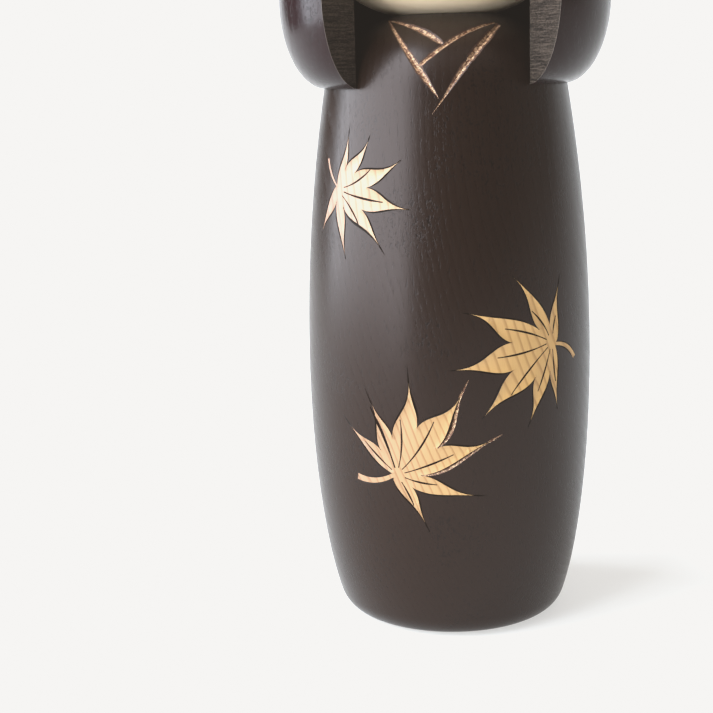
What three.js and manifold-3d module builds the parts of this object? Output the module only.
// A creative kokeshi doll: a turned and carved wooden body, a turned head inside a bored
// and sawn hair shell, and two dowels. Millimetres, +Z up, facing -Y, standing on z = 0.
import * as THREE from "three";
import { mergeVertices } from "three/addons/utils/BufferGeometryUtils.js";
import Module from "manifold-3d";

// ---- Driving dimensions --------------------------------------------------------------

const FACETS = 48; // flats round every turned piece
const RUNNING_GAP = 0.3; // between pieces that touch or turn on each other
const SHORTEST_EDGE = 0.01;

const BELLY_RADIUS = 45.6; // body at its fullest
const BELLY_HEIGHT = 82;
const BASE_TUCK = 18; // ellipse of the lower flank: how far it draws in,
const BASE_REACH = 90; // and how far below the belly it would close
const FLANK_ARC_RADIUS = 530; // arc of the upper flank, belly to shoulder
const FOOT_RADIUS = 28.5; // flat face that the doll stands on
const FOOT_ROUND_HEIGHT = 6.5; // rounded bottom edge
const SHOULDER_HEIGHT = 170;
const NECK_RADIUS = 16.2; // flat seat that carries the head
const DOME_HEIGHT = 22.1; // shoulder up to the neck seat
const DOME_RISE = 12; // curve handles of the dome, at the shoulder
const DOME_SPREAD = 11; // and at the neck
const DOME_NECK_SLOPE = 0.25;

const CARVING_DEPTH = 0.9; // leaves and collar, below the turned surface

const NECK_PEG_RADIUS = 6;
const NECK_PEG_IN_BODY = 26;
const NECK_PEG_IN_HEAD = 22;
const CROWN_PEG_RADIUS = 4;
const CROWN_PEG_IN_HEAD = 12;
const CROWN_PEG_IN_HAIR = 5;
const PEG_CHAMFER = 1;
const SOCKET_SPARE = 1.5; // free depth beyond a dowel's end

const HEAD_RADIUS = 38;
const HEAD_HALF_HEIGHT = 28.5;
const HEAD_SQUARENESS = 2.4; // exponent of the head's section, where 2 is an ellipse

const HAIR_WALL = 12.9; // at the widest point
const HAIR_RIM_CURL = 1.3; // the rim's curve is centred this far inside the bore
const HAIR_RIM_GAP = 0.2; // rim above the shoulder
const HAIR_RIM_RISE = 26.7; // rim up to the widest point
const HAIR_CROWN_WALL = 8.5; // over the top of the head
const HAIR_SQUARENESS = 2.15;
const WINDOW_HALF_ANGLE = 41.7; // degrees either side of the front
const WINDOW_RISE = 57; // rim up to the fringe

// Maple leaves: place of the hub, the stem, and the lobes clockwise from it, as [direction,
// length], with the distance of each notch between them from the hub. Directions are in
// degrees anticlockwise from the viewer's right.
const LEAVES = [
  {
    azimuth: -49,
    belowShoulder: 29.5,
    stem: { direction: 130, length: 12 },
    lobes: [[79, 17.4], [52, 19.5], [20, 24.1], [-11, 26.6], [-43, 25.1], [-77, 19.2], [-123, 14]],
    notches: [7.6, 9.4, 12.5, 12.7, 5.8, 4.1],
  },
  {
    azimuth: 45,
    belowShoulder: 76,
    stem: { direction: -30, length: 14 },
    lobes: [[275, 20.2], [249, 25.7], [220, 31.3], [191, 34.2], [158, 31.7], [124, 25.5], [80, 18.4]],
    notches: [9, 12.3, 16.6, 15.4, 6.9, 5.5],
  },
  {
    azimuth: -19.6,
    belowShoulder: 115,
    stem: { direction: -168, length: 15.5 },
    lobes: [[138, 24.1], [112, 27], [82, 32.7], [51, 35.7], [20, 33.9], [-15, 23.9], [-61, 16.7]],
    notches: [8.8, 11.7, 17, 15.8, 7.5, 5.7],
  },
];
const LOBE_BULGE = 0.09; // outward bow of a lobe's side, as a share of its length
const STEM_BULGE = 0.01;
const HUB_RADIUS = 1.6; // where the first and last lobes meet the stem
const STEM_WIDTH = 1;

// Collar: each groove's curve as seen from the front, [x, drop below the neck seat], and
// its greatest width.
const COLLAR_GROOVES = [
  { curve: [[-16.5, 1.7], [-9.5, 11.7], [-1, 24.8]], width: 1.6 },
  { curve: [[-16.5, 1.7], [-7.5, 4.5], [0.4, 9.6]], width: 1.7 },
  { curve: [[15.6, 3.4], [4.6, 6.7], [-6, 15]], width: 1.2 },
  { curve: [[16.5, 4.1], [8.3, 14.1], [0.8, 24.4]], width: 1.9 },
];

// ---- Sizes that follow ----------------------------------------------------------------

const neckHeight = SHOULDER_HEIGHT + DOME_HEIGHT;
const neckSocketRadius = NECK_PEG_RADIUS + RUNNING_GAP;
const crownSocketRadius = CROWN_PEG_RADIUS + RUNNING_GAP;
const headSeatHeight = neckHeight + RUNNING_GAP;
const headCentre = headSeatHeight + superellipse(NECK_RADIUS, HEAD_RADIUS, HEAD_HALF_HEIGHT,
  HEAD_SQUARENESS);
const headTop = headCentre + HEAD_HALF_HEIGHT;
const headGap = 2 * RUNNING_GAP;
const boreRadius = HEAD_RADIUS + headGap;
const rimHeight = narrowedHeight(boreRadius - RUNNING_GAP) + HAIR_RIM_GAP;
const hairWidestHeight = rimHeight + HAIR_RIM_RISE;
const hairRadius = boreRadius + HAIR_WALL;
const crownHeight = headTop + headGap + HAIR_CROWN_WALL;

// ---- Curves ---------------------------------------------------------------------------

function vector(x, y) {
  return new THREE.Vector2(x, y);
}

function polar(degrees, length) {
  const angle = THREE.MathUtils.degToRad(degrees);
  return vector(length * Math.cos(angle), length * Math.sin(angle));
}

// Height of a superellipse of half-width a and half-height b at distance r from its axis.
function superellipse(r, a, b, exponent) {
  return b * (1 - (r / a) ** exponent) ** (1 / exponent);
}

// Points of a superellipse centred at [radius, height], between two angles in degrees,
// where 0 is its widest point and 90 its pole. The end points are included.
function superarc(radius, height, a, b, exponent, from, to, rings) {
  const points = [];
  for (let i = 0; i <= rings; i++) {
    const angle = THREE.MathUtils.degToRad(from + ((to - from) * i) / rings);
    const cosine = Math.max(0, Math.cos(angle));
    const sine = Math.sin(angle);
    const rise = Math.sign(sine) * Math.abs(sine) ** (2 / exponent);
    points.push(vector(radius + a * cosine ** (2 / exponent), height + b * rise));
  }
  return points;
}

// The angle in superarc at which a superellipse of half-width a is r wide.
function superangle(r, a, exponent) {
  return THREE.MathUtils.radToDeg(Math.acos((r / a) ** (exponent / 2)));
}

// ---- Solids ---------------------------------------------------------------------------

const wasm = await Module();
wasm.setup();

// A turned piece from its half profile: [radius, height] points, outside surface upward.
function turned(points) {
  return new THREE.LatheGeometry(points, FACETS).rotateX(Math.PI / 2);
}

function solidFrom(geometry) {
  const bare = new THREE.BufferGeometry();
  const loose = geometry.index ? geometry.toNonIndexed() : geometry;
  bare.setAttribute("position", loose.getAttribute("position"));
  const merged = mergeVertices(bare, 1e-3);
  const corners = [];
  for (let i = 0; i < merged.index.count; i += 3) {
    const [a, b, c] = merged.index.array.slice(i, i + 3);
    if (a !== b && b !== c && c !== a) corners.push(a, b, c);
  }
  return new wasm.Manifold(new wasm.Mesh({
    numProp: 3,
    vertProperties: merged.attributes.position.array,
    triVerts: new Uint32Array(corners),
  }));
}

// A cut solid as geometry, without the slivers shorter than SHORTEST_EDGE that cuts leave.
function geometryFrom(solid) {
  const mesh = solid.simplify(SHORTEST_EDGE).getMesh();
  const geometry = new THREE.BufferGeometry();
  geometry.setAttribute("position", new THREE.BufferAttribute(mesh.vertProperties, 3));
  geometry.setIndex(new THREE.BufferAttribute(mesh.triVerts, 1));
  geometry.computeVertexNormals();
  return geometry;
}

// ---- Body -----------------------------------------------------------------------------

// Radius of the barrel below the dome: an ellipse under the belly, a long arc above it.
function barrelRadius(z) {
  const above = z - BELLY_HEIGHT;
  if (above > 0) return BELLY_RADIUS - above ** 2 / (2 * FLANK_ARC_RADIUS);
  return BELLY_RADIUS - BASE_TUCK * (1 - Math.sqrt(1 - (above / BASE_REACH) ** 2));
}

function barrelSlope(z) {
  const step = 0.01;
  return (barrelRadius(z + step) - barrelRadius(z - step)) / (2 * step);
}

function footRound() {
  const join = vector(barrelRadius(FOOT_ROUND_HEIGHT), FOOT_ROUND_HEIGHT);
  const corner = vector(join.x - barrelSlope(FOOT_ROUND_HEIGHT) * FOOT_ROUND_HEIGHT, 0);
  return new THREE.QuadraticBezierCurve(vector(FOOT_RADIUS, 0), corner, join).getPoints(4);
}

function flank(fromHeight, toHeight, rings) {
  const points = [];
  for (let i = 1; i <= rings; i++) {
    const z = fromHeight + ((toHeight - fromHeight) * i) / rings;
    points.push(vector(barrelRadius(z), z));
  }
  return points;
}

// The dome under the hair, from the shoulder to the flat neck.
function shoulderDome(rings) {
  const start = vector(barrelRadius(SHOULDER_HEIGHT), SHOULDER_HEIGHT);
  const end = vector(NECK_RADIUS, neckHeight);
  const leaving = vector(barrelSlope(SHOULDER_HEIGHT), 1).multiplyScalar(DOME_RISE);
  const arriving = vector(1, -DOME_NECK_SLOPE).multiplyScalar(DOME_SPREAD);
  const curve = new THREE.CubicBezierCurve(start, start.clone().add(leaving),
    end.clone().add(arriving), end);
  return curve.getPoints(rings);
}

// The lowest height, from the shoulder up, at which the body is no wider than a radius.
function narrowedHeight(radius) {
  const dome = shoulderDome(200);
  return dome.find((point) => point.x <= radius).y;
}

function bodyOutside() {
  return [
    ...footRound(),
    ...flank(FOOT_ROUND_HEIGHT, BELLY_HEIGHT, 8),
    ...flank(BELLY_HEIGHT, SHOULDER_HEIGHT, 7),
    ...shoulderDome(8).slice(1),
  ];
}

// What is left under a carving: the body's outside, moved inward along its normals.
function carvedCore() {
  const outside = bodyOutside();
  const inset = outside.map((point, i) => {
    const before = outside[Math.max(i - 1, 0)];
    const after = outside[Math.min(i + 1, outside.length - 1)];
    const along = after.clone().sub(before).normalize();
    return vector(point.x - along.y * CARVING_DEPTH, point.y + along.x * CARVING_DEPTH);
  });
  return solidFrom(turned([vector(0, inset[0].y), ...inset, vector(0, inset.at(-1).y)]));
}

// A leaf's outline round its hub: each lobe's two sides are curves from notch to tip, and
// the stem is a sliver.
function leafOutline({ stem, lobes, notches }) {
  const tips = lobes.map(([direction, length]) => polar(direction, length));
  const stemEnd = polar(stem.direction, stem.length);
  const beside = polar(stem.direction + 90, STEM_WIDTH / 2);
  const hub = polar(stem.direction, HUB_RADIUS);
  const valleys = [hub.clone().sub(beside)];
  notches.forEach((distance, i) => {
    valleys.push(polar((lobes[i][0] + lobes[i + 1][0]) / 2, distance));
  });
  valleys.push(hub.clone().add(beside));

  const outline = new THREE.Shape([valleys[0]]);
  const curveTo = (from, to, bulge) => {
    const across = to.clone().sub(from).rotateAround(vector(0, 0), Math.PI / 2);
    const middle = from.clone().add(to).multiplyScalar(0.5).addScaledVector(across, bulge);
    outline.quadraticCurveTo(middle.x, middle.y, to.x, to.y);
  };
  tips.forEach((tip, i) => {
    curveTo(valleys[i], tip, LOBE_BULGE);
    curveTo(tip, valleys[i + 1], LOBE_BULGE);
  });
  curveTo(valleys.at(-1), stemEnd, STEM_BULGE);
  curveTo(stemEnd, valleys[0], STEM_BULGE);
  return outline;
}

// A leaf's cutter: its outline wrapped round the body and spread outward from the axis.
function leafCutter(leaf) {
  const geometry = new THREE.ExtrudeGeometry(leafOutline(leaf), {
    depth: 1, steps: 1, curveSegments: 5, bevelEnabled: false,
  });
  const position = geometry.getAttribute("position");
  const height = SHOULDER_HEIGHT - leaf.belowShoulder;
  const wrapRadius = barrelRadius(height);
  for (let i = 0; i < position.count; i++) {
    const azimuth = THREE.MathUtils.degToRad(leaf.azimuth) + position.getX(i) / wrapRadius;
    const reach = BELLY_RADIUS * (position.getZ(i) > 0.5 ? 1.3 : 0.5);
    position.setXYZ(i, reach * Math.sin(azimuth), -reach * Math.cos(azimuth),
      height + position.getY(i));
  }
  return solidFrom(geometry);
}

// A collar groove's cutter: a sliver pointed at both ends, cut straight back from the front.
function grooveCutter({ curve, width }) {
  const centre = new THREE.SplineCurve(curve.map(([x, drop]) => vector(x, neckHeight - drop)));
  const samples = 8;
  const nearSide = [];
  const farSide = [];
  for (let i = 0; i <= samples; i++) {
    const t = i / samples;
    const along = centre.getTangent(t);
    const across = vector(-along.y, along.x).multiplyScalar((width / 2) * Math.sin(Math.PI * t));
    nearSide.push(centre.getPoint(t).add(across));
    if (i > 0 && i < samples) farSide.push(centre.getPoint(t).sub(across));
  }
  const geometry = new THREE.ExtrudeGeometry(new THREE.Shape([...nearSide, ...farSide.reverse()]), {
    depth: BELLY_RADIUS * 1.2, steps: 1, bevelEnabled: false,
  });
  return solidFrom(geometry.rotateX(Math.PI / 2));
}

function body() {
  const socketFloor = neckHeight - NECK_PEG_IN_BODY - SOCKET_SPARE;
  const blank = solidFrom(turned([
    vector(0, 0),
    ...bodyOutside(),
    vector(neckSocketRadius, neckHeight),
    vector(neckSocketRadius, socketFloor),
    vector(0, socketFloor),
  ]));
  const core = carvedCore();
  const cutters = [...LEAVES.map(leafCutter), ...COLLAR_GROOVES.map(grooveCutter)];
  const carved = cutters.reduce((wood, cutter) => wood.subtract(cutter.subtract(core)), blank);
  return geometryFrom(carved);
}

// ---- Head and hair --------------------------------------------------------------------

function head() {
  const pegSocketTop = headSeatHeight + NECK_PEG_IN_HEAD + SOCKET_SPARE;
  const crownSocketFloor = headTop - CROWN_PEG_IN_HEAD - SOCKET_SPARE;
  const seat = -superangle(NECK_RADIUS, HEAD_RADIUS, HEAD_SQUARENESS);
  const crown = superangle(crownSocketRadius, HEAD_RADIUS, HEAD_SQUARENESS);
  return turned([
    vector(0, pegSocketTop),
    vector(neckSocketRadius, pegSocketTop),
    vector(neckSocketRadius, headSeatHeight),
    ...superarc(0, headCentre, HEAD_RADIUS, HEAD_HALF_HEIGHT, HEAD_SQUARENESS, seat, crown, 16),
    vector(crownSocketRadius, crownSocketFloor),
    vector(0, crownSocketFloor),
  ]);
}

// The bore: a dome over the head, and a straight wall below it.
function hairInside() {
  const halfHeight = HEAD_HALF_HEIGHT + headGap;
  const crown = superangle(crownSocketRadius, boreRadius, HEAD_SQUARENESS);
  const socketTop = headTop + headGap + CROWN_PEG_IN_HAIR + SOCKET_SPARE;
  return [
    vector(0, socketTop),
    vector(crownSocketRadius, socketTop),
    ...superarc(0, headCentre, boreRadius, halfHeight, HEAD_SQUARENESS, crown, 0, 8),
  ];
}

function hairOutside() {
  const curlRadius = boreRadius - HAIR_RIM_CURL;
  const curlWall = HAIR_WALL + HAIR_RIM_CURL;
  const rim = -superangle(HAIR_RIM_CURL, curlWall, 2);
  return [
    ...superarc(curlRadius, hairWidestHeight, curlWall, HAIR_RIM_RISE, 2, rim, 0, 8),
    ...superarc(0, hairWidestHeight, hairRadius, crownHeight - hairWidestHeight, HAIR_SQUARENESS,
      0, 90, 9).slice(1),
  ];
}

// The sawn window: a wedge whose two sides point at the doll's axis.
function windowWedge() {
  const below = 10;
  const left = polar(-90 - WINDOW_HALF_ANGLE, 2 * hairRadius);
  const right = polar(-90 + WINDOW_HALF_ANGLE, 2 * hairRadius);
  const wedge = new THREE.ExtrudeGeometry(new THREE.Shape([vector(0, 0), left, right]), {
    depth: WINDOW_RISE + below, steps: 1, bevelEnabled: false,
  });
  return wedge.translate(0, 0, rimHeight - below);
}

function hair() {
  const bell = solidFrom(turned([...hairInside(), ...hairOutside()]));
  return geometryFrom(bell.subtract(solidFrom(windowWedge())));
}

// ---- Dowels ---------------------------------------------------------------------------

function dowel(radius, bottom, top) {
  return turned([
    vector(0, bottom),
    vector(radius - PEG_CHAMFER, bottom),
    vector(radius, bottom + PEG_CHAMFER),
    vector(radius, top - PEG_CHAMFER),
    vector(radius - PEG_CHAMFER, top),
    vector(0, top),
  ]);
}

function neckPeg() {
  return dowel(NECK_PEG_RADIUS, neckHeight - NECK_PEG_IN_BODY, headSeatHeight + NECK_PEG_IN_HEAD);
}

function crownPeg() {
  return dowel(CROWN_PEG_RADIUS, headTop - CROWN_PEG_IN_HEAD, headTop + headGap + CROWN_PEG_IN_HAIR);
}

// ---- Assembly -------------------------------------------------------------------------

const stainedWood = new THREE.MeshStandardMaterial({ color: 0x352b26, roughness: 0.4, metalness: 0 });
const hairWood = new THREE.MeshStandardMaterial({ color: 0x29221f, roughness: 0.3, metalness: 0 });
const faceWood = new THREE.MeshStandardMaterial({ color: 0xe0c8a4, roughness: 0.55, metalness: 0 });
const dowelWood = new THREE.MeshStandardMaterial({ color: 0xc9a878, roughness: 0.7, metalness: 0 });

const doll = new THREE.Group();

function addPiece(name, geometry, material) {
  const mesh = new THREE.Mesh(geometry, material);
  mesh.name = name;
  doll.add(mesh);
}

addPiece("body", body(), stainedWood);
addPiece("head", head(), faceWood);
addPiece("hair", hair(), hairWood);
addPiece("neck_peg", neckPeg(), dowelWood);
addPiece("crown_peg", crownPeg(), dowelWood);

export default doll;
